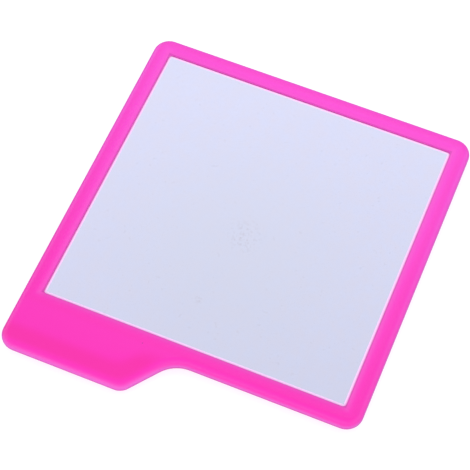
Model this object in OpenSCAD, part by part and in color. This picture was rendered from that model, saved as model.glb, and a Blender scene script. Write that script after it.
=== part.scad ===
// Hand mirror for a hair salon: a square pane held in a two-shell plastic case, whose lower left
// corner runs on into a short grip. It lies on its back, mirror face up, with +Y away from the grip.

/* [Mirror face] */
// Width of the opening that shows the mirror
window_w = 200; // [180:1:220]
// Height of the opening that shows the mirror
window_h = 197.5; // [178:0.5:218]
// Thickness of the glass
glass_t = 2; // [1.8:0.1:2.2]
// How far the pane reaches under the lip on each side
pane_overlap = 1.8; // [1.2:0.1:2]

/* [Case] */
// Width of the rim around the opening
rim_w = 12; // [11.5:0.25:13]
// Thickness of the whole mirror
case_t = 10; // [9.6:0.1:10.4]
// Wall thickness of both shells
wall = 2; // [1.8:0.1:2.1]
// Radius of the case's outer corners
corner_r = 11; // [10:1:12]
// Depth of the mirror face below the crest of the rim
face_drop = 2.5; // [2.2:0.1:2.8]
// Height of the lip's inner edge above the mirror face
lip_t = 0.9; // [0.7:0.1:1.2]
// Width of the rim's slope from its crest down to the lip's inner edge
slope_w = 5.25; // [4:0.25:6]

/* [Grip] */
// Length of the grip's straight lower edge, with its corners
grip_w = 83.75; // [75:0.25:100]
// Distance from the opening down to the grip's lower edge
grip_drop = 41.5; // [36:0.5:50]
// Radius of the corner where the lower edge meets the slanted side
grip_corner_r = 10; // [9:1:12]
// Radius of the hollow where the slanted side meets the rim
grip_hollow_r = 20; // [14:1:24]

/* [Fixings] */
// Diameter of a screw's shank
screw_d = 2.5; // [2.3:0.1:2.6]
// Diameter of a screw's head
screw_head_d = 5; // [4.6:0.1:5.2]
// Width of a foam tape strip
tape_w = 12; // [8:1:16]
// Length of a foam tape strip
tape_l = 140; // [100:5:150]

/* [Hidden] */
$fn = 96;
pink = "hotpink";

// The case in plan: its edges, then the opening's edges
case_l = window_h + rim_w + grip_drop;
left_x = -window_w / 2 - rim_w;
right_x = -left_x;
top_y = case_l / 2;
grip_y = -case_l / 2;
rim_y = grip_y + grip_drop - rim_w;
window_y0 = grip_y + grip_drop;
window_y1 = window_y0 + window_h;
window_mid_y = (window_y0 + window_y1) / 2;

// The corners in order, turning left round the case: [point, radius, 1 if it bulges or -1 if it is hollow]
slant_run = 3;
slant_rise = 4;
grip_x = left_x + grip_w;
hollow_x = grip_x + (grip_drop - rim_w) * slant_run / slant_rise;
corners = [
    [[left_x, grip_y], corner_r, 1],
    [[grip_x, grip_y], grip_corner_r, 1],
    [[hollow_x, rim_y], grip_hollow_r, -1],
    [[right_x, rim_y], corner_r, 1],
    [[right_x, top_y], corner_r, 1],
    [[left_x, top_y], corner_r, 1]
];
corner_count = len(corners);

// Heights, from the table up: the edge is a half round, and the shells meet at its middle
edge_r = case_t / 2;
seam_z = edge_r;
glass_z1 = case_t - face_drop;
glass_z0 = glass_z1 - glass_t;
silver_t = 0.1;
paint_t = 0.15;
paint_z0 = glass_z0 - silver_t - paint_t;
tape_t = 1.25;
tape_z0 = paint_z0 - tape_t;

// The pocket that holds the pane, whose walls and ribs stand step_h above the tapes' seats
pane_gap = 0.4;
pocket_wall = 1.4;
step_h = 0.8;
pocket_z0 = tape_z0 + step_h;

// The rear cover's tongue, which reaches past the seam into the front frame
tongue_gap = 0.2;
tongue_t = 0.75;
tongue_reach = 0.8;
tongue_z0 = 2.5;
tongue_z1 = seam_z + tongue_reach;

// How deep joined shapes sink into each other, how far cuts reach past a face, and two aids to drawing
merge = 0.2;
margin = 1;
sliver = 0.01;
wedge_r = 40;

// Screws, bosses and pillars
boss_r = 2.5;
pillar_r = 3.4;
pilot_gap = 0.05;
boss_gap = 0.05;
pillar_z1 = 3;
boss_z0 = pillar_z1 + boss_gap;
pilot_skin = 1.6;
pilot_z1 = case_t - pilot_skin;
head_t = 1.2;
head_sink = 0.3;
head_z1 = head_sink + head_t;
head_gap = 0.2;
tip_d = 0.8;
tip_l = 0.5;
tip_gap = 0.1;
shank_z1 = pilot_z1 - tip_gap - tip_l;
slot_w = 0.8;
slot_l = 2.9;
slot_depth = 0.6;
rim_screw_out = 4.65;
rim_screw_in = 14;
rim_screw_at = [
    for (x = [-1, 1])
        for (y = [window_y0 + rim_screw_in, window_y1 - rim_screw_in])
            [x * (window_w / 2 + rim_screw_out), y]
];
grip_screw_up = 17;
grip_screw_left = 18;
grip_screw_right = 10;
grip_screw_at = [
    [left_x + grip_screw_left, grip_y + grip_screw_up],
    [grip_x - grip_screw_right, grip_y + grip_screw_up]
];
screw_at = concat(rim_screw_at, grip_screw_at);

// Tapes, and the ribs inside the rear cover between their seats
tape_in = 8;
tape_x = window_w / 2 - tape_w / 2 - tape_in;
tape_y = window_h / 2 - tape_w / 2 - tape_in;
seat_margin = 2;
rib_t = 1.2;
rib_z1 = tape_z0 + step_h;
rib_pitch = 36;
rib_count = 4;

// Ribs inside the grip, which stop short of the front frame's pocket and of its face
grip_rib_up = 8;
grip_rib_gap = 2;
grip_rib_l = grip_drop - grip_rib_up - pane_overlap - pane_gap - pocket_wall - grip_rib_gap;
grip_rib_left = 28;
grip_rib_right = 18;
grip_rib_x = [left_x + grip_rib_left, (left_x + grip_x) / 2, grip_x - grip_rib_right];
face_gap = 0.1;
grip_rib_z1 = case_t - wall - face_gap;

function unit(v) = v / norm(v);
function left_of(v) = [-v[1], v[0]];
function heading(v) = atan2(v[1], v[0]);
function point_of(i) = corners[(i + corner_count) % corner_count][0];
function radius_of(i) = corners[i % corner_count][1];
function bulge_of(i) = corners[i % corner_count][2];

// Directions into and out of a corner, the angle it turns, and the length its arc takes from each side
function way_in(i) = unit(point_of(i) - point_of(i - 1));
function way_out(i) = unit(point_of(i + 1) - point_of(i));
function turn_of(i) = acos(way_in(i) * way_out(i));
function trim_of(i) = radius_of(i) * tan(turn_of(i % corner_count) / 2);
function centre_of(i) =
    point_of(i) - way_in(i) * trim_of(i) + left_of(way_in(i)) * radius_of(i) * bulge_of(i);

// A point where a corner's arc meets its side, once the outline is drawn in by inset
function tangent_point(i, way, inset) =
    centre_of(i) - left_of(way) * (radius_of(i) * bulge_of(i) - inset);

// The case's outline in plan, drawn in by inset
module plan(inset) {
    difference() {
        union() {
            polygon([
                for (i = [0 : corner_count - 1])
                    each bulge_of(i) > 0
                        ? [tangent_point(i, way_in(i), inset), tangent_point(i, way_out(i), inset)]
                        : [tangent_point(i, way_in(i), inset), centre_of(i),
                           tangent_point(i, way_out(i), inset)]
            ]);
            for (i = [0 : corner_count - 1])
                if (bulge_of(i) > 0)
                    translate(centre_of(i)) circle(radius_of(i) - inset);
        }
        for (i = [0 : corner_count - 1])
            if (bulge_of(i) < 0)
                translate(centre_of(i)) circle(radius_of(i) + inset);
    }
}

// A prism that holds the wedge which a corner's arc fills, with its point at the arc's centre
module corner_wedge(i) {
    spoke_in = -left_of(way_in(i)) * bulge_of(i) * wedge_r;
    spoke_out = -left_of(way_out(i)) * bulge_of(i) * wedge_r;
    translate([0, 0, -margin])
        linear_extrude(case_t + 2 * margin) polygon([[0, 0], spoke_in, spoke_in + spoke_out, spoke_out]);
}

// Sweeps a section round the outline: its x is the distance in from the edge, its y is the height
module around_edge() {
    for (i = [0 : corner_count - 1]) {
        start = point_of(i) + way_out(i) * trim_of(i);
        end = point_of(i + 1) - way_out(i) * trim_of(i + 1);
        translate([start[0], start[1], 0])
            rotate([0, 0, heading(way_out(i))])
                rotate([90, 0, 90])
                    linear_extrude(norm(end - start)) children();
        translate([centre_of(i)[0], centre_of(i)[1], 0])
            intersection() {
                if (bulge_of(i) > 0)
                    rotate_extrude() translate([radius_of(i), 0]) mirror([1, 0]) children();
                else
                    rotate_extrude() translate([radius_of(i), 0]) children();
                corner_wedge(i);
            }
    }
}

// One half of the case as a bare shell: a flat plate with a quarter-round edge, which starts at edge_z0
module half_shell(plate_z0, edge_z0) {
    translate([0, 0, plate_z0]) linear_extrude(wall) plan(edge_r);
    around_edge()
        intersection() {
            translate([edge_r, edge_r])
                difference() {
                    circle(edge_r);
                    circle(edge_r - wall);
                }
            translate([-margin, edge_z0]) square([edge_r + margin, edge_r + margin]);
        }
}

// A block the shape of the opening, grown by grow on each side
module window_block(grow, z0, z1) {
    translate([-window_w / 2 - grow, window_y0 - grow, z0])
        cube([window_w + 2 * grow, window_h + 2 * grow, z1 - z0]);
}

// Cylinders at the screws' places
module at_screws(places, r, z0, z1) {
    for (p = places)
        translate([p[0], p[1], z0]) cylinder(r = r, h = z1 - z0);
}

// The funnel-shaped cut that slopes the rim down to the lip, all round the opening
module slope_cut() {
    slope_z0 = glass_z1 + lip_t;
    rise = case_t - slope_z0;
    hull() {
        window_block(0, slope_z0, slope_z0 + sliver);
        window_block(2 * slope_w, slope_z0 + 2 * rise, slope_z0 + 2 * rise + sliver);
    }
}

module front_frame() {
    color(pink)
        difference() {
            union() {
                half_shell(case_t - wall, seam_z);
                window_block(pane_overlap + pane_gap + pocket_wall, pocket_z0, case_t - wall + merge);
                at_screws(screw_at, boss_r, boss_z0, case_t - wall + merge);
            }
            window_block(0, 0, case_t + margin);
            window_block(pane_overlap + pane_gap, 0, glass_z1);
            slope_cut();
            at_screws(screw_at, screw_d / 2 + pilot_gap, 0, pilot_z1);
        }
}

// A raised seat under a tape, a little larger than it, centred at a place on the pane's back
module tape_seat(at, size) {
    seat = [size[0] + 2 * seat_margin, size[1] + 2 * seat_margin];
    translate([at[0] - seat[0] / 2, window_mid_y + at[1] - seat[1] / 2, wall - merge])
        cube([seat[0], seat[1], tape_z0 - wall + merge]);
}

// The tapes' seats, and a grid of ribs between them
module cover_ribs() {
    for (side = [-1, 1]) {
        tape_seat([side * tape_x, 0], [tape_w, tape_l]);
        tape_seat([0, side * tape_y], [tape_l, tape_w]);
    }
    rib_reach_x = tape_x - tape_w / 2 - seat_margin;
    rib_reach_y = tape_y - tape_w / 2 - seat_margin;
    for (i = [0 : rib_count - 1]) {
        away = (i - (rib_count - 1) / 2) * rib_pitch;
        translate([away - rib_t / 2, window_mid_y - rib_reach_y, wall - merge])
            cube([rib_t, 2 * rib_reach_y, rib_z1 - wall + merge]);
        translate([-rib_reach_x, window_mid_y + away - rib_t / 2, wall - merge])
            cube([2 * rib_reach_x, rib_t, rib_z1 - wall + merge]);
    }
}

// Upright ribs that keep the grip from being squeezed flat
module grip_ribs() {
    for (x = grip_rib_x)
        translate([x - rib_t / 2, grip_y + grip_rib_up, wall - merge])
            cube([rib_t, grip_rib_l, grip_rib_z1 - wall + merge]);
}

module rear_cover() {
    color(pink)
        difference() {
            union() {
                half_shell(0, -margin);
                around_edge()
                    translate([wall + tongue_gap, tongue_z0]) square([tongue_t, tongue_z1 - tongue_z0]);
                at_screws(screw_at, pillar_r, wall - merge, pillar_z1);
                cover_ribs();
                grip_ribs();
            }
            at_screws(screw_at, screw_d / 2 + 2 * pilot_gap, -margin, case_t);
            at_screws(screw_at, screw_head_d / 2 + head_gap, -margin, head_z1);
        }
}

// A layer of the pane, as wide as the pane itself
module pane_layer(z0, z1) {
    window_block(pane_overlap, z0, z1);
}

module mirror_glass() {
    color("lightcyan") pane_layer(glass_z0, glass_z1);
}

module silver_film() {
    color("silver") pane_layer(glass_z0 - silver_t, glass_z0);
}

module backing_paint() {
    color("dimgray") pane_layer(paint_z0, glass_z0 - silver_t);
}

// A strip of foam tape, size wide and long, centred at a place on the pane's back
module foam_tape(at, size) {
    color("whitesmoke")
        translate([at[0] - size[0] / 2, window_mid_y + at[1] - size[1] / 2, tape_z0])
            cube([size[0], size[1], tape_t]);
}

// A self-tapping screw, head down at the back of the case
module screw() {
    difference() {
        union() {
            translate([0, 0, head_sink]) cylinder(d = screw_head_d, h = head_t);
            translate([0, 0, head_z1 - merge]) cylinder(d = screw_d, h = shank_z1 - head_z1 + merge);
            translate([0, 0, shank_z1]) cylinder(d1 = screw_d, d2 = tip_d, h = tip_l);
        }
        for (turn = [0, 90])
            rotate([0, 0, turn])
                translate([-slot_l / 2, -slot_w / 2, head_sink - 1]) cube([slot_l, slot_w, slot_depth + 1]);
    }
}

module screws(places) {
    color("silver")
        for (p = places)
            translate([p[0], p[1], 0]) screw();
}

front_frame();
rear_cover();
mirror_glass();
silver_film();
backing_paint();
foam_tape([-tape_x, 0], [tape_w, tape_l]);  // foam_tape_left
foam_tape([tape_x, 0], [tape_w, tape_l]);  // foam_tape_right
foam_tape([0, tape_y], [tape_l, tape_w]);  // foam_tape_top
foam_tape([0, -tape_y], [tape_l, tape_w]);  // foam_tape_bottom
screws(rim_screw_at);  // rim_screws
screws(grip_screw_at);  // grip_screws
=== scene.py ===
# %% [markdown]
# # A salon hand mirror, one piece at a time
# The real object is a square pane of silvered glass held in a slim hot-pink plastic case. The case is two
# mouldings: a front frame, whose lip holds the pane, and a rear cover. The lower left corner of the case runs
# on into a short grip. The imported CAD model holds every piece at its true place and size. This lesson gives
# the front frame and the pane their finished shape, and every piece its finish.

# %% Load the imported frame
import math

import bmesh
import bpy
from mathutils import Matrix, Quaternion, Vector


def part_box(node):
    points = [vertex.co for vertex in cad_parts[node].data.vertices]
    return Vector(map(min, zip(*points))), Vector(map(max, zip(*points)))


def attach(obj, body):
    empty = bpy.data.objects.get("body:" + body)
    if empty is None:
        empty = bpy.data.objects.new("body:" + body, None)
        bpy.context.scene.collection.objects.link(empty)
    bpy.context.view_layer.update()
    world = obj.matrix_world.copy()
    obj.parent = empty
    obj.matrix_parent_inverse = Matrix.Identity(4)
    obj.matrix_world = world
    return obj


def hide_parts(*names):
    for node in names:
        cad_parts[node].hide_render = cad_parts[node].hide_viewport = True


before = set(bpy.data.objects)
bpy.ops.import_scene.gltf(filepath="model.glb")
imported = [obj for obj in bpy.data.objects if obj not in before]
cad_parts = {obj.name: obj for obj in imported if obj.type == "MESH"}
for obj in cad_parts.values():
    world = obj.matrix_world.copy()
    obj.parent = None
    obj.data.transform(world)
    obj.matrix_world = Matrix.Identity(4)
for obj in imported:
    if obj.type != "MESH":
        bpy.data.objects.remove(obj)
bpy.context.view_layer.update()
print("CAD nodes:", ", ".join(sorted(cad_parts)))

# %% [markdown]
# ## Sizes
# Everything is worked out from the frame and a few driving dimensions, which are the CAD model's own. The
# case's outline has six corners. Going counterclockwise from the grip's outer corner, five of them bulge and
# one, where the grip's slanted side runs into the rim, is hollow.

# %% Driving dimensions
mm = 0.001
wall = 2 * mm
corner_radius = 11 * mm
grip_width = 83.75 * mm
grip_corner_radius = 10 * mm
grip_hollow_radius = 20 * mm
slant_run_over_rise = 3 / 4
rim_width = 12 * mm
pane_overlap = 1.8 * mm
pane_gap = 0.4 * mm
pocket_wall = 1.4 * mm
pocket_floor = 4.8 * mm

case_low, case_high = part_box("front_frame")
pane_low, pane_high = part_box("mirror_glass")
case_top = case_high.z
edge_radius = case_top / 2
seam_height = edge_radius
window_low = Vector((pane_low.x + pane_overlap, pane_low.y + pane_overlap))
window_high = Vector((pane_high.x - pane_overlap, pane_high.y - pane_overlap))
rim_bottom = window_low.y - rim_width
print("case", [round(side / mm, 2) for side in case_high - case_low], "mm")
print("opening", [round(side / mm, 2) for side in window_high - window_low], "mm")

# %% [markdown]
# ## A route with round corners
# A moulded rim is one cross-section carried round an outline. Blender could do that with a curve and a
# bevel object, but a curve pinches or fans its section at a corner. Here the route is kept as what a
# toolmaker would cut: straight runs joined by true arcs. Each corner turns into a tangent point, an arc's
# centre and an angle, which is negative where the outline turns right, as it does in the hollow beside the
# grip. The opening's corners, square in the CAD model, get the small radius that a moulding has there.

# %% Route helper
UP = Vector((0, 0, 1))


def flat(point):
    """A plan point as a 3-D one at height 0."""
    return Vector((point[0], point[1], 0))


def route(corners):
    """For each (point, radius) corner: where its arc starts, its centre, its angle, and where it ends."""
    stops = []
    for index, (point, radius) in enumerate(corners):
        point = flat(point)
        way_in = (point - flat(corners[index - 1][0])).normalized()
        way_out = (flat(corners[(index + 1) % len(corners)][0]) - point).normalized()
        angle = math.atan2(way_in.cross(way_out).z, way_in.dot(way_out))
        trim = radius * math.tan(abs(angle) / 2)
        start = point - way_in * trim
        centre = start + UP.cross(way_in) * math.copysign(radius, angle)
        stops.append((start, centre, angle, point + way_out * trim))
    return stops


grip_right = case_low.x + grip_width
hollow_x = grip_right + (rim_bottom - case_low.y) * slant_run_over_rise
case_route = route([
    ((case_low.x, case_low.y), corner_radius),
    ((grip_right, case_low.y), grip_corner_radius),
    ((hollow_x, rim_bottom), grip_hollow_radius),
    ((case_high.x, rim_bottom), corner_radius),
    ((case_high.x, case_high.y), corner_radius),
    ((case_low.x, case_high.y), corner_radius),
])
window_corner_radius = 3 * mm
window_route = route([
    ((window_low.x, window_low.y), window_corner_radius),
    ((window_high.x, window_low.y), window_corner_radius),
    ((window_high.x, window_high.y), window_corner_radius),
    ((window_low.x, window_high.y), window_corner_radius),
])
print("outline turns", [round(math.degrees(stop[2])) for stop in case_route], "degrees")

# %% [markdown]
# ## A pen for cross-sections
# A section is a chain of edges, drawn in the plane across the route. It could be a list of coordinates, but
# straight pieces and arcs say more: a straight piece is an extruded point, and an arc is a spun point.
# Sections are drawn lying in the XZ plane, where X is the distance in from the route and Z is the height.

# %% Section pen
ACROSS = Vector((0, 1, 0))


class Pen:
    """Draws a chain of edges from a starting point."""

    def __init__(self, mesh, x, z):
        self.mesh = mesh
        self.tip = mesh.verts.new((x, 0, z))

    def line(self, x, z):
        self.tip = bmesh.ops.extrude_vert_indiv(self.mesh, verts=[self.tip])["verts"][0]
        self.tip.co = (x, 0, z)

    def arc(self, x, z, angle, steps):
        """Turns about the centre (x, z). A positive angle turns from +Z towards +X."""
        last = bmesh.ops.spin(
            self.mesh, geom=[self.tip], cent=(x, 0, z), axis=ACROSS, angle=angle, steps=steps
        )["geom_last"]
        self.tip = next(part for part in last if isinstance(part, bmesh.types.BMVert))


# %% [markdown]
# ## Carrying a section round a route
# One operator does both halves of the work. Spin with an angle turns the section about a corner's centre, and
# spin with a step and no angle slides it along a straight run. Short steps along the straights leave rings
# close enough together to be shaped later. The last ring lands on the first, and merging closes the loop.
# A second helper turns any finished bmesh into an object, with a crease wherever its faces meet sharply.

# %% Sweep helper
straight_step = 3 * mm
corner_step = math.radians(5)
weld = 0.002 * mm


def sweep(mesh, section, stops, inward):
    """Carries the section's chain round the route. inward is 1 where it lies left of the route, else -1."""
    way = (stops[1][0] - stops[0][3]).normalized()
    side = UP.cross(way) * inward
    place = Matrix.Translation(stops[0][3]) @ Matrix((side, way, UP)).transposed().to_4x4()
    points = [part for part in section if isinstance(part, bmesh.types.BMVert)]
    bmesh.ops.transform(mesh, matrix=place, verts=points)
    chain, start = section, stops[0][3]
    for index in range(1, len(stops) + 1):
        begin, centre, angle, finish = stops[index % len(stops)]
        steps = math.ceil((begin - start).length / straight_step)
        step = (begin - start) / steps
        chain = bmesh.ops.spin(mesh, geom=chain, dvec=step, axis=UP, angle=0, steps=steps)["geom_last"]
        steps = math.ceil(abs(angle) / corner_step)
        chain = bmesh.ops.spin(mesh, geom=chain, cent=centre, axis=UP, angle=angle, steps=steps)["geom_last"]
        start = finish
    bmesh.ops.remove_doubles(mesh, verts=mesh.verts, dist=weld)


def finished(mesh, name, sharp_degrees=40):
    """Turns the bmesh into an object at the origin, with smooth faces and sharp creases."""
    bmesh.ops.recalc_face_normals(mesh, faces=mesh.faces)
    data = bpy.data.meshes.new(name)
    mesh.to_mesh(data)
    mesh.free()
    data.shade_smooth()
    data.set_sharp_from_angle(angle=math.radians(sharp_degrees))
    piece = bpy.data.objects.new(name, data)
    bpy.context.scene.collection.objects.link(piece)
    triangles = sum(len(face.vertices) - 2 for face in data.polygons)
    print(name, len(data.vertices), "points,", triangles, "triangles")
    return piece


# %% [markdown]
# ## The front frame
# The real frame is a moulded shell about 2 mm thick. Its outer edge is a quarter round that meets the rear
# cover at a fine parting line. Its rim is crowned: from the crest it rolls gently down to a lip, which ends
# in a small step onto the glass. Behind the lip is a pocket that keeps the pane in place. Two sections draw
# all of this, one for the case and one for the opening.

# %% Front frame: two sections
parting_chamfer = 0.18 * mm
crest_in = 5.5 * mm
lip_step = 0.75 * mm
lip_top = pane_high.z + lip_step
lip_round = 0.2 * mm
shell_under = case_top - wall
inside_steps = 8
outside_steps = 16
crown_steps = 12


def edge_section(mesh):
    """The shell's round edge: inside face first, then across the seam and up over the outside."""
    pen = Pen(mesh, edge_radius, shell_under)
    pen.arc(edge_radius, seam_height, -math.pi / 2, inside_steps)
    pen.line(parting_chamfer, seam_height)
    first_turn = math.asin(2 * parting_chamfer / edge_radius)
    pen.line(edge_radius * (1 - math.cos(first_turn)), seam_height + edge_radius * math.sin(first_turn))
    pen.arc(edge_radius, seam_height, math.pi / 2 - first_turn, outside_steps)


def lip_section(mesh):
    """The pane's pocket, the step above the glass, and the crowned slope up to the crest."""
    pocket_in = pane_overlap + pane_gap
    pen = Pen(mesh, pocket_in + pocket_wall, shell_under)
    pen.line(pocket_in + pocket_wall, pocket_floor)
    pen.line(pocket_in, pocket_floor)
    pen.line(pocket_in, pane_high.z)
    pen.line(0, pane_high.z)
    pen.line(0, lip_top)
    pen.line(lip_round / 3, lip_top + 2 * lip_round / 3)
    pen.line(lip_round, lip_top + lip_round)
    reach = crest_in - lip_round
    rise = case_top - lip_top - lip_round
    crown_radius = (reach ** 2 + rise ** 2) / (2 * rise)
    pen.arc(crest_in, case_top - crown_radius, math.asin(reach / crown_radius), crown_steps)


print("the lip stands", round(lip_step / mm, 2), "mm above the pane's face")

# %% [markdown]
# ## Joining the two sweeps
# One section is carried round the case and the other round the opening. Their open ends meet at two heights,
# the flat front and the hollow underside, and a flat fill between the rings closes the shell at each. Each
# sweep is made in its own bmesh, because it ends by merging doubled points everywhere.

# %% Front frame: sweep and fill
def swept_shell(drawn_section, stops, inward):
    """A bmesh of one section carried round a route."""
    mesh = bmesh.new()
    drawn_section(mesh)
    sweep(mesh, mesh.verts[:] + mesh.edges[:], stops, inward)
    return mesh


def add_mesh(target, extra):
    """Copies one bmesh into another."""
    carrier = bpy.data.meshes.new("carrier")
    extra.to_mesh(carrier)
    target.from_mesh(carrier)
    bpy.data.meshes.remove(carrier)


front = swept_shell(edge_section, case_route, 1)
lip = swept_shell(lip_section, window_route, -1)
add_mesh(front, lip)
lip.free()


def rings_at(mesh, height):
    """The open edges that lie at one height."""
    return [
        edge for edge in mesh.edges
        if edge.is_boundary and all(abs(vert.co.z - height) < weld for vert in edge.verts)
    ]


for height in (case_top, shell_under):
    rings = rings_at(front, height)
    filled = bmesh.ops.triangle_fill(front, use_beauty=True, use_dissolve=False, edges=rings)["geom"]
    print("filled at", round(height / mm, 2), "mm with", len(filled), "parts")
print("open edges left:", sum(edge.is_boundary for edge in front.edges))

# %% [markdown]
# ## The grip's rolled front
# The grip's face is flat beside the glass, then tilts gently away along its lower edge and its slanted side,
# so that it sits well in the fingers. The flat fill has no points there to move. It could be subdivided, but
# its long triangles would shade unevenly, so planes cut it into a fine grid, and the fill's own diagonals are
# dissolved.

# %% Grid on the grip's face
grid_pitch = 1.6 * mm
top_level = case_top - weld


def on_face(part):
    """Is this edge or face part of the flat front?"""
    return all(vert.co.z > top_level for vert in part.verts)


def cut_face(mesh, position, normal):
    """Cuts the flat front with one upright plane."""
    faces = [
        face for face in mesh.faces
        if on_face(face) and min(vert.co.y for vert in face.verts) < rim_bottom + rim_width
    ]
    edges = {edge for face in faces for edge in face.edges}
    verts = {vert for face in faces for vert in face.verts}
    cut = faces + list(edges) + list(verts)
    bmesh.ops.bisect_plane(mesh, geom=cut, dist=weld, plane_co=position, plane_no=normal)


columns = math.ceil((hollow_x + grip_hollow_radius - case_low.x) / grid_pitch)
rows = math.ceil((window_low.y - case_low.y) / grid_pitch)
for column in range(1, columns):
    cut_face(front, (case_low.x + column * grid_pitch, 0, 0), (1, 0, 0))
for row in range(1, rows):
    cut_face(front, (0, case_low.y + row * grid_pitch, 0), (0, 1, 0))

grip_limit = case_low.x + (columns - 1) * grid_pitch


def is_diagonal(edge):
    """Does an edge run aslant in plan?"""
    first, second = (vert.co for vert in edge.verts)
    return min(abs(first.x - second.x), abs(first.y - second.y)) > weld


stray = [
    edge for edge in front.edges
    if len(edge.link_faces) == 2 and all(on_face(face) for face in edge.link_faces)
    and all(vert.co.y < window_low.y and vert.co.x < grip_limit + weld for vert in edge.verts)
    and is_diagonal(edge)
]
bmesh.ops.dissolve_edges(front, edges=stray, use_verts=False)
print("grid of", columns, "by", rows, "with", len(stray), "diagonals dissolved")

# %% [markdown]
# ## Lowering the grip's face
# Now every point of the grip is lowered by a formula: a slope that starts softly at a set distance from the
# two edges, bends softly from one edge to the other, and fades out where the rim begins. The round outer edge
# is squashed in proportion, so that its lower end stays on the seam.

# %% Roll the grip's face
roll_reach = 14.5 * mm
roll_slope = 0.12
roll_softness = 2 * mm
roll_corner = 9 * mm
roll_fade = 14 * mm


def soft_positive(value, softness):
    """Zero well below 0, the value itself well above it, and a smooth bend between."""
    return (value + math.hypot(value, softness)) / 2


def smooth_step(value):
    """Rises smoothly from 0 to 1 as value does."""
    value = min(max(value, 0), 1)
    return value * value * (3 - 2 * value)


slant_start = Vector((grip_right, case_low.y))
slant_inward = Vector((-1, slant_run_over_rise)).normalized()


def roll_drop(place):
    """How far the grip's face is lowered at a plan point."""
    over_bottom = roll_reach - (place.y - case_low.y)
    over_slant = roll_reach - (place.xy - slant_start).dot(slant_inward)
    over_edge = (over_bottom + over_slant + math.hypot(over_bottom - over_slant, roll_corner)) / 2
    over_edge = min(over_edge, roll_reach + roll_softness)
    fade = smooth_step((rim_bottom - place.y) / roll_fade)
    return roll_slope * soft_positive(over_edge, roll_softness) * fade


deepest = 0
for vert in front.verts:
    if vert.co.z > seam_height and vert.co.y < rim_bottom:
        drop = roll_drop(vert.co)
        vert.co.z = seam_height + (vert.co.z - seam_height) * (1 - drop / (case_top - seam_height))
        deepest = max(deepest, drop)
print("the grip's edge is rolled down by up to", round(deepest / mm, 2), "mm")
front_shell = finished(front, "front_shell")

# %% [markdown]
# ## The pane
# The pane is plain float glass, silvered behind. Its edges are ground with a fine bevel, the seaming that
# keeps them from chipping, and a sliver of that ground bevel shows as a pale line all round the opening. A
# cube gives the block. One inset marks the opening's edge, a second marks where the grinding starts, and
# everything outside the second is lowered, so the bevel slopes only where it can be seen.

# %% Model the pane
seam_inset = 1.8 * mm
seam_drop = 0.25 * mm
pane_corner = 1 * mm
pane_sharp_degrees = 5
pane = bmesh.new()
bmesh.ops.create_cube(pane, size=1)
pane_size = pane_high - pane_low
pane_middle = (pane_high + pane_low) / 2
stretch = Matrix.Translation(pane_middle) @ Matrix.Diagonal((*pane_size, 1))
bmesh.ops.transform(pane, matrix=stretch, verts=pane.verts)
face = max(pane.faces, key=lambda each: each.calc_center_median().z)
hidden = bmesh.ops.inset_region(pane, faces=[face], thickness=pane_overlap, use_even_offset=True)["faces"]
seamed = bmesh.ops.inset_region(pane, faces=[face], thickness=seam_inset, use_even_offset=True)["faces"]
field = set(face.verts)
margin = {vert for each in hidden for vert in each.verts if vert not in field}
bmesh.ops.translate(pane, vec=(0, 0, -seam_drop), verts=list(margin))
for each in seamed:
    each.material_index = 1
uprights = [edge for edge in pane.edges if abs(edge.verts[0].co.z - edge.verts[1].co.z) > pane_size.z / 2]
bmesh.ops.bevel(
    pane, geom=uprights, offset=pane_corner, offset_type="OFFSET",
    affect="EDGES", segments=3, profile=0.5, material=-1,
)
mirror_pane = finished(pane, "mirror_pane", pane_sharp_degrees)

# %% [markdown]
# ## Shader maths that reads as Python
# A material is a graph of nodes, and long chains of Math nodes are hard to read. Here one small class wraps a
# socket, so that an expression such as `1 - mask * 0.5` adds its own Math nodes.

# %% Wire class
class Wire:
    """The output of a node, with the arithmetic of numbers."""

    def __init__(self, shader, socket):
        self.shader = shader
        self.socket = socket

    def math(self, operation, *values):
        return self.shader.add("ShaderNodeMath", {"operation": operation}, dict(enumerate(values)))

    def __add__(self, other):
        return self.math("ADD", self, other)

    def __radd__(self, other):
        return self.math("ADD", other, self)

    def __sub__(self, other):
        return self.math("SUBTRACT", self, other)

    def __rsub__(self, other):
        return self.math("SUBTRACT", other, self)

    def __mul__(self, other):
        return self.math("MULTIPLY", self, other)

    def __rmul__(self, other):
        return self.math("MULTIPLY", other, self)

    def between(self, low, high):
        """Rises smoothly from 0 to 1 as the value goes from low to high."""
        settings = {"interpolation_type": "SMOOTHSTEP"}
        sockets = {"Value": self, "From Min": low, "From Max": high}
        return self.shader.add("ShaderNodeMapRange", settings, sockets)


# %% [markdown]
# ## One method for every other node
# Each node that isn't plain arithmetic comes from one method, which is given the node's type, its settings,
# and what goes into its sockets. Settings are made first, because some of them change which sockets a node
# has. The short methods after it give names to the patterns that the finishes share.

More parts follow.
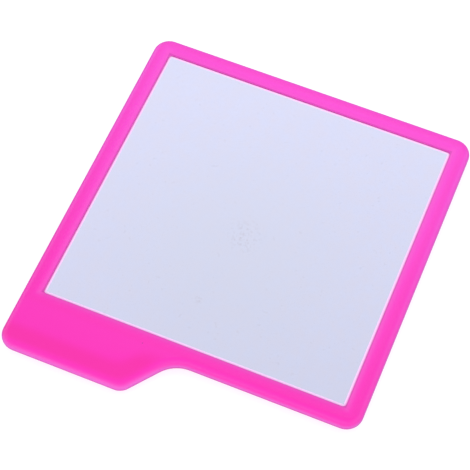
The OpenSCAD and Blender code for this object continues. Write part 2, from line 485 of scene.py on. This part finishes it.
# %% Shader class
class Shader:
    """The nodes of a material or a world."""

    def __init__(self, owner):
        self.owner = owner
        owner.use_nodes = True
        self.nodes = owner.node_tree.nodes
        self.links = owner.node_tree.links
        self.nodes.clear()
        self.place = self.add("ShaderNodeTexCoord", output="Object")

    def add(self, kind, settings=None, sockets=None, output=0):
        """Adds a node, makes its settings, fills its sockets, and gives back one output."""
        node = self.nodes.new(kind)
        for setting, value in (settings or {}).items():
            setattr(node, setting, value)
        for socket, value in (sockets or {}).items():
            if isinstance(value, Wire):
                self.links.new(value.socket, node.inputs[socket])
            else:
                node.inputs[socket].default_value = value
        return None if output is None else Wire(self, node.outputs[output])

    def noise(self, size, detail, roughness=0.5, place=None):
        """Soft noise from 0 to 1, whose features are about size metres across."""
        place = place or self.place
        sockets = {"Vector": place, "Scale": 1 / size, "Detail": detail, "Roughness": roughness}
        return self.add("ShaderNodeTexNoise", None, sockets)

    def part(self, axis):
        """One of the object coordinates."""
        return self.add("ShaderNodeSeparateXYZ", None, {0: self.place}, output=axis)

    def stretched(self, x, y, z):
        """Object coordinates multiplied along each axis."""
        return self.add("ShaderNodeMapping", None, {"Vector": self.place, "Scale": (x, y, z)})

    def spot(self, middle, radius, softness=0.8):
        """A round spot: 1 at its middle, and falling smoothly to 0 at its radius."""
        sockets = {0: self.place, 1: middle}
        away = self.add("ShaderNodeVectorMath", {"operation": "DISTANCE"}, sockets, output="Value")
        return 1 - away.between(radius * (1 - softness), radius)

    def inside_window(self):
        """How far a point lies inside the opening's edge, in plan. It is negative outside."""
        x, y = self.part("X"), self.part("Y")
        middle_y = (window_high.y + window_low.y) / 2
        inside_x = window_high.x - x.math("ABSOLUTE", x)
        inside_y = window_high.y - middle_y - y.math("ABSOLUTE", y - middle_y)
        return inside_x.math("MINIMUM", inside_x, inside_y)

    def mix(self, factor, first, second):
        """A colour between two colours. The Mix node's colours are its sockets 6 and 7, and its output 2."""
        sockets = {"Factor": factor, 6: first, 7: second}
        return self.add("ShaderNodeMix", {"data_type": "RGBA"}, sockets, output=2)

    def bump(self, height, distance, strength):
        sockets = {"Height": height, "Distance": distance, "Strength": strength}
        return self.add("ShaderNodeBump", None, sockets)

    def ramp(self, factor, stops):
        """A colour for each value, from (position, colour) stops."""
        node = self.add("ShaderNodeValToRGB", None, {"Fac": factor}).socket.node
        while len(node.color_ramp.elements) < len(stops):
            node.color_ramp.elements.new(0.5)
        for element, (position, colour) in zip(node.color_ramp.elements, stops):
            element.position = position
            element.color = colour
        return Wire(self, node.outputs["Color"])

    def end(self, shader, kind="ShaderNodeOutputMaterial"):
        """Joins a shader to the output, and gives back the finished material or world."""
        self.add(kind, None, {"Surface": shader}, output=None)
        print(self.owner.name, "has", len(self.nodes), "nodes")
        return self.owner

    def surface(self, sockets):
        """Ends the graph in a Principled shader."""
        return self.end(self.add("ShaderNodeBsdfPrincipled", None, sockets))


def rgb(red, green, blue):
    """A linear colour with full alpha."""
    return (red, green, blue, 1)


# %% [markdown]
# ## Where light and shade are painted on the plastic
# The pigment is one, but painted light and shade change its look over the case. Painted shade darkens it
# along the rim's crest, and in a band along the grip's lower and slanted edges. A painted sheen makes it
# paler towards the thin lip, and palest round the edge, standing in for light from the table. A fine painted
# dark line of shade follows the lip's edge. These could be painted by hand on a UV map, but the case is
# regular, so each is a mask from 0 to 1, worked out from a point's place on it. Each pair below says where a
# mask starts to change and where it has changed.

# %% Masks on the case
# Where each painted mask starts and stops: painted shade on the grip's band and the crest, painted sheen by
# the lip and round the edge, and a painted shade line at the lip.
band_bend = 8 * mm
band_outer = (3 * mm, 7.5 * mm)
band_inner = (11 * mm, 18.5 * mm)
band_end = (rim_bottom - 10 * mm, rim_bottom + 4 * mm)
front_only = (seam_height - 1 * mm, seam_height)
crest_rise = (3.5 * mm, 6.5 * mm)
crest_fall = (7 * mm, 10 * mm)
lip_fall = (0.8 * mm, 4.2 * mm)
painted_lip_shade_fall = (0.2 * mm, 0.8 * mm)
edge_rise = (2.5 * mm, seam_height)
edge_fall = (5.6 * mm, 8.4 * mm)


def grip_shade_band(x, y):
    """Where painted shade darkens the middle of the grip's rolled edges."""
    from_bottom = y - case_low.y
    from_slant = (x - slant_start.x) * slant_inward.x + (y - slant_start.y) * slant_inward.y
    inset = from_bottom.math("SMOOTH_MIN", from_bottom, from_slant, band_bend)
    return inset.between(*band_outer) * (1 - inset.between(*band_inner)) * (1 - y.between(*band_end))


def rim_masks(z, outset):
    """Painted shade on the crest, painted sheen by the lip, a painted shade line at the lip's edge, and
    painted sheen round the case's edge. outset is the distance from the opening.
    """
    front_side = z.between(*front_only)
    crest = front_side * outset.between(*crest_rise) * (1 - outset.between(*crest_fall))
    painted_lip_sheen = front_side * (1 - outset.between(*lip_fall))
    # A painted dark line of shade at the lip's edge.
    painted_lip_shade = (1 - outset.between(*painted_lip_shade_fall)) * z.between(lip_top, lip_top + lip_round)
    # Painted sheen round the case's edge.
    painted_edge_sheen = (1 - z.between(*edge_fall)) * z.between(*edge_rise)
    return crest, painted_lip_sheen, painted_lip_shade, painted_edge_sheen


print("the grip's band starts", round(band_outer[0] / mm, 1), "mm in from its edges")

# %% [markdown]
# ## Hot-pink plastic
# The case is injection-moulded and glossy, but not a mirror: moulded plastic has a very slight orange peel,
# and handling dulls it a little in patches. The pigment is strong, with faint flow marks, and is painted a
# little lighter towards the far end, as painted light. The masks above add painted shade and painted sheen,
# and one speck of burnt resin sits in the grip's face, as small moulding faults do.

# %% Case plastic
flow_size = 60 * mm
haze_size = 18 * mm
peel_size = 1.6 * mm
peel_depth = 0.012 * mm
speck_at = (-28.5 * mm, -92.8 * mm, case_top)
speck_radius = 0.6 * mm
near_pink = rgb(0.80, 0.0125, 0.335)
# Painted light: the pink towards the far end.
far_painted_light_pink = rgb(0.77, 0.048, 0.455)
flow_pink = rgb(0.78, 0.014, 0.325)
# Painted sheen: the paler pink by the lip.
painted_lip_sheen_pink = rgb(0.77, 0.072, 0.42)
# Painted shade: the darker pink on the grip's band and the rim's crest.
painted_shade_pink = rgb(0.765, 0.011, 0.268)
# Painted sheen: the paler pink round the case's edge.
painted_edge_sheen_pink = rgb(0.68, 0.11, 0.46)
# Painted shade: the dark line at the lip's edge.
painted_lip_shade_pink = rgb(0.35, 0.02, 0.20)
burnt_pink = rgb(0.30, 0.005, 0.14)


def case_plastic():
    shader = Shader(bpy.data.materials.new("hot_pink_plastic"))
    x, y, z = (shader.part(axis) for axis in ("X", "Y", "Z"))
    crest, painted_lip_sheen, painted_lip_shade, painted_edge_sheen = rim_masks(z, 0 - shader.inside_window())
    band = z.between(*front_only) * grip_shade_band(x, y)
    # Painted light: the pink grows lighter towards the far end.
    pigment = shader.mix(y.between(case_low.y, case_high.y), near_pink, far_painted_light_pink)
    pigment = shader.mix(shader.noise(flow_size, 2) * 0.3, pigment, flow_pink)
    # Painted sheen by the lip.
    pigment = shader.mix(painted_lip_sheen * 0.5, pigment, painted_lip_sheen_pink)
    # Painted shade on the grip's band and the rim's crest.
    pigment = shader.mix(band * 0.9 + crest * 0.2, pigment, painted_shade_pink)
    # Painted sheen round the case's edge.
    pigment = shader.mix(painted_edge_sheen * 0.9, pigment, painted_edge_sheen_pink)
    # A painted dark line of shade at the lip's edge.
    pigment = shader.mix(painted_lip_shade * 0.4, pigment, painted_lip_shade_pink)
    haze = shader.noise(haze_size, 4)
    peel = shader.noise(peel_size, 2)
    return shader.surface({
        "Base Color": shader.mix(shader.spot(speck_at, speck_radius) * 0.8, pigment, burnt_pink),
        "Roughness": 0.27 + haze * 0.1,
        "IOR": 1.5,
        "Normal": shader.bump(peel, peel_depth, 0.5),
    })


pink = case_plastic()

# %% [markdown]
# ## Silvered glass
# The silver lies behind clear glass. The glass could be modelled as a clear slab over the film, but at this
# scale the two surfaces act as one, so the pane simply reflects, a little blue. What makes it look real is
# what lies on it: a faint uneven bloom, which wiping has left a little duller towards the middle, fine dust,
# a few specks, and two brownish smudges where fingers have touched it, one near the middle and a smaller
# one below. Noise gives the smudges a ragged outline. All of it is very faint, and changes the tint and the
# roughness by a few percent.

# %% Silvered glass
middle_smudge = (0, 2 * mm, pane_high.z)
middle_smudge_radius = 16 * mm
lower_smudge = (-10 * mm, -50 * mm, pane_high.z)
lower_smudge_radius = 5 * mm
dull_middle = (-5 * mm, -10 * mm, pane_high.z)
dull_radius = 110 * mm
bloom_size = 26 * mm
cast_size = 9 * mm
dust_size = 2.2 * mm
speck_size = 3.2 * mm
ragged_size = 3.5 * mm
dusty_tint = rgb(0.88, 0.90, 0.925)
clear_tint = rgb(0.945, 0.965, 0.985)
warm_tint = rgb(0.945, 0.92, 0.90)
dull_tint = rgb(0.90, 0.925, 0.88)
soil_brown = rgb(0.74, 0.70, 0.66)


def mirror_face():
    shader = Shader(bpy.data.materials.new("silvered_glass"))
    bloom = shader.noise(bloom_size, 4, 0.6)
    cast = shader.noise(cast_size, 3, 0.6).between(0.3, 0.7)
    dull = shader.spot(dull_middle, dull_radius, 0.9)
    dust = shader.noise(dust_size, 4, 0.75)
    specks = shader.noise(speck_size, 1).between(0.70, 0.76)
    ragged = shader.noise(ragged_size, 4, 0.75).between(0.48, 0.64)
    touched = shader.spot(middle_smudge, middle_smudge_radius)
    touched = touched + shader.spot(lower_smudge, lower_smudge_radius)
    soil = ragged * touched * 0.35 + specks * 0.12
    tint = shader.mix(bloom * 0.4 + dust * 0.6, dusty_tint, clear_tint)
    tint = shader.mix(cast * 0.6, tint, warm_tint)
    tint = shader.mix(dull * 0.45, tint, dull_tint)
    return shader.surface({
        "Base Color": shader.mix(soil, tint, soil_brown),
        "Metallic": 1.0,
        "Roughness": 0.03 + bloom * 0.04 + soil * 0.2,
    })


silvered_glass = mirror_face()

# %% [markdown]
# ## The pane's ground edge
# Ground glass scatters light, so the bevel round the pane is a pale line. A frosted transmission shader
# would show what is under it, but a plain rough surface does for so narrow a strip. Next to the lip a painted
# pink reflection of the plastic is added, drawn from each point's distance to the opening's edge.

# %% Ground edge
grit_size = 0.3 * mm
grit_depth = 0.01 * mm
painted_lip_reflection_fall = (0.1 * mm, 1.0 * mm)
# Painted reflection of the lip's pink.
painted_lip_reflection_pink = rgb(0.70, 0.17, 0.45)
ground_dark = rgb(0.84, 0.54, 0.72)
ground_pale = rgb(0.92, 0.60, 0.80)


def ground_edge():
    shader = Shader(bpy.data.materials.new("ground_glass_edge"))
    grit = shader.noise(grit_size, 2)
    # Painted reflection: the lip's pink, painted on the ground edge next to it.
    painted_lip_reflection = 1 - shader.inside_window().between(*painted_lip_reflection_fall)
    ground = shader.mix(grit, ground_dark, ground_pale)
    return shader.surface({
        "Base Color": shader.mix(painted_lip_reflection, ground, painted_lip_reflection_pink),
        "Roughness": 0.5 + grit * 0.2,
        "Normal": shader.bump(grit, grit_depth, 0.5),
    })


ground_glass = ground_edge()

# %% [markdown]
# ## What is inside
# The silver film, the paint over it, the foam tapes and the screws are the CAD model's own solids, whose
# shapes are already right. Most are hidden while the case is closed and could be left plain, but whoever
# takes the model apart sees them. Each gets the finish of the real thing: bright film, and grey paint that a
# curtain coater lays on with faint streaks.

# %% Inner sheets
cloud_size = 30 * mm
curtain_width = 4 * mm
curtain_depth = 0.02 * mm


def silver_film():
    shader = Shader(bpy.data.materials.new("silver_film"))
    cloud = shader.noise(cloud_size, 3)
    return shader.surface({
        "Base Color": shader.mix(cloud, rgb(0.86, 0.86, 0.85), rgb(0.94, 0.94, 0.93)),
        "Metallic": 1.0,
        "Roughness": 0.08 + cloud * 0.1,
    })


def backing_paint():
    shader = Shader(bpy.data.materials.new("backing_paint"))
    curtain = shader.noise(curtain_width, 3, place=shader.stretched(1, 0.08, 1))
    return shader.surface({
        "Base Color": shader.mix(curtain, rgb(0.20, 0.21, 0.22), rgb(0.27, 0.28, 0.29)),
        "Roughness": 0.6 + curtain * 0.15,
        "Normal": shader.bump(curtain, curtain_depth, 0.4),
    })


silver, paint = silver_film(), backing_paint()

# %% [markdown]
# ## Foam and steel
# Foam is a mass of small closed cells, for which the Voronoi pattern is the natural choice. The screws are
# zinc-plated steel with a fine grain. Noise gives it, stretched along their axes. They all point the same
# way, so it needs no pattern of its own for each screw.

# %% Foam and steel
cell_size = 0.5 * mm
cell_depth = 0.1 * mm
turning_size = 0.4 * mm


def foam():
    shader = Shader(bpy.data.materials.new("closed_cell_foam"))
    sockets = {"Vector": shader.place, "Scale": 1 / cell_size}
    cells = shader.add("ShaderNodeTexVoronoi", None, sockets, output="Distance")
    return shader.surface({
        "Base Color": shader.mix(cells, rgb(0.72, 0.72, 0.70), rgb(0.86, 0.86, 0.84)),
        "Roughness": 0.85,
        "Normal": shader.bump(cells, cell_depth, 0.6),
    })


def screw_steel():
    shader = Shader(bpy.data.materials.new("zinc_plated_steel"))
    turned = shader.noise(turning_size, 2, 0.6, shader.stretched(1, 1, 0.2))
    return shader.surface({
        "Base Color": shader.mix(turned, rgb(0.62, 0.62, 0.64), rgb(0.74, 0.74, 0.76)),
        "Metallic": 1.0,
        "Roughness": 0.25 + turned * 0.15,
    })


tape, steel = foam(), screw_steel()

# %% [markdown]
# ## Put the finishes on
# The new front shell and pane stand for their CAD nodes and ride on the mirror's one body. The pane's second
# material slot is for its bevel. The CAD nodes that stay visible only have their material slots changed.

# %% Assign materials
front_shell.data.materials.append(pink)
mirror_pane.data.materials.append(silvered_glass)
mirror_pane.data.materials.append(ground_glass)
for piece, node, slot in ((front_shell, "front_frame", "case"), (mirror_pane, "mirror_glass", "mirror")):
    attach(piece, "root")
    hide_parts(node)

cad_finishes = {
    "rear_cover": pink,
    "silver_film": silver,
    "backing_paint": paint,
    "foam_tape_left": tape,
    "foam_tape_right": tape,
    "foam_tape_top": tape,
    "foam_tape_bottom": tape,
    "rim_screws": steel,
    "grip_screws": steel,
}
for node, material in cad_finishes.items():
    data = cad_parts[node].data
    data.materials.clear()
    data.materials.append(material)
print("finished", len(cad_finishes), "CAD nodes and 2 new pieces")

# %% [markdown]
# ## The light tent
# The mirror lies on a lit white table inside a light tent, the usual way to picture a glossy thing without
# shadows, and shows a patch of the tent as pale lavender. The tent's two sides are lit from outside, which
# puts a pale sheen on the case's left and right edges. Its far side stands in shade, which darkens the far
# edge a little, and so does the floor round the table. It could be four cloth walls, but a world shader
# renders faster: a ramp on the height of each direction, then one mix for each part that differs.

# %% Light tent
scene = bpy.context.scene
scene.view_settings.view_transform = "Standard"
side_light = rgb(1.15, 1.45, 1.68)
side_rise = (0.4, 0.95)
far_shade = rgb(0.36, 0.33, 0.45)
far_rise = (0.55, 0.9)
floor_shade = rgb(0.35, 0.33, 0.45)
floor_fall = (-0.06, 0)

world = bpy.data.worlds.new("light_tent")
scene.world = world
sky = Shader(world)
direction = sky.add("ShaderNodeTexCoord", output="Generated")
x_part, y_part, z_part = (
    sky.add("ShaderNodeSeparateXYZ", None, {0: direction}, output=axis) for axis in ("X", "Y", "Z")
)
tent = sky.ramp(z_part, [
    (0.0, rgb(0.86, 0.86, 1.00)),
    (0.4, rgb(0.88, 0.88, 1.04)),
    (0.65, rgb(0.90, 0.905, 1.12)),
    (0.82, rgb(0.80, 0.81, 1.02)),
    (0.90, rgb(0.70, 0.715, 0.90)),
    (1.0, rgb(0.60, 0.61, 0.75)),
])
tent = sky.mix(x_part.math("ABSOLUTE", x_part).between(*side_rise), tent, side_light)
tent = sky.mix(y_part.between(*far_rise) * 0.45, tent, far_shade)
tent = sky.mix(1 - z_part.between(*floor_fall), tent, floor_shade)
background = sky.add("ShaderNodeBackground", None, {"Color": tent})
sky.end(background, "ShaderNodeOutputWorld")

# %% [markdown]
# ## Softboxes
# One broad softbox above the far end lifts the colour there, and a weaker one fills in from the viewer's
# side. Both are hidden from reflections, as if they shone through the tent's cloth.

# %% Softboxes
def softbox(name, place, width, depth, power):
    """An area light that points at the middle of the object."""
    data = bpy.data.lights.new(name, "AREA")
    data.shape = "RECTANGLE"
    data.size = width
    data.size_y = depth
    data.energy = power
    lamp = bpy.data.objects.new(name, data)
    lamp.location = place
    lamp.rotation_euler = (-lamp.location).to_track_quat("-Z", "Y").to_euler()
    lamp.visible_glossy = False
    scene.collection.objects.link(lamp)
    print(name, "at", [round(part, 2) for part in lamp.location], "gives", power, "W")


softbox("far_softbox", place=(0, 0.35, 0.6), width=0.6, depth=0.4, power=1.7)
softbox("near_softbox", place=(0.1, -0.8, 0.45), width=1.0, depth=0.4, power=3.0)

# %% [markdown]
# ## The table
# The table is opal acrylic, lit from below, so it stays white right up to the case. Its glow does most of
# that, and a grey base keeps it from throwing too much light back up. It is left out of reflections: there
# the dim floor round it takes its place, which draws a fine darker outline where the case's edge turns away.

# %% Table
table_gap = 0.2 * mm
table_half = 4
table_glow = 0.7
table_dark = rgb(0.34, 0.34, 0.34)
table_pale = rgb(0.36, 0.36, 0.36)
clouding_size = 0.3
table = bmesh.new()
bmesh.ops.create_grid(table, x_segments=1, y_segments=1, size=table_half)
bmesh.ops.translate(table, vec=(0, 0, -table_gap), verts=table.verts)
floor = finished(table, "table_top")
acrylic = Shader(bpy.data.materials.new("lit_acrylic"))
clouding = acrylic.noise(clouding_size, 2)
floor.data.materials.append(acrylic.surface({
    "Base Color": acrylic.mix(clouding, table_dark, table_pale),
    "Roughness": 0.8,
    "Specular IOR Level": 0.2,
    "Emission Color": rgb(1, 1, 1),
    "Emission Strength": table_glow,
}))
floor.visible_glossy = False

# %% [markdown]
# ## The camera
# The viewer stands at the grip's end, a little to the right, and looks down at the mirror at about sixty
# degrees with a long lens. The camera is given by where it aims, how far away it is, its two angles and a
# slight roll.

# %% Camera
aim = Vector((-6.25 * mm, 0.85 * mm, pane_high.z))
view_distance = 1.061
view_azimuth = math.radians(20.18)
view_elevation = math.radians(59.73)
view_roll = math.radians(2.53)
sensor_width = 36
focal_length = 128.5
towards_viewer = Vector((
    math.cos(view_elevation) * math.sin(view_azimuth),
    -math.cos(view_elevation) * math.cos(view_azimuth),
    math.sin(view_elevation),
))
camera_data = bpy.data.cameras.new("camera")
camera_data.sensor_width = sensor_width
camera_data.lens = focal_length
camera = bpy.data.objects.new("camera", camera_data)
camera.location = aim + towards_viewer * view_distance
turn = towards_viewer.to_track_quat("Z", "Y") @ Quaternion((0, 0, 1), view_roll)
camera.rotation_euler = turn.to_euler()
scene.collection.objects.link(camera)
scene.camera = camera
print("camera at", [round(part, 3) for part in camera.location], "with a", focal_length, "mm lens")
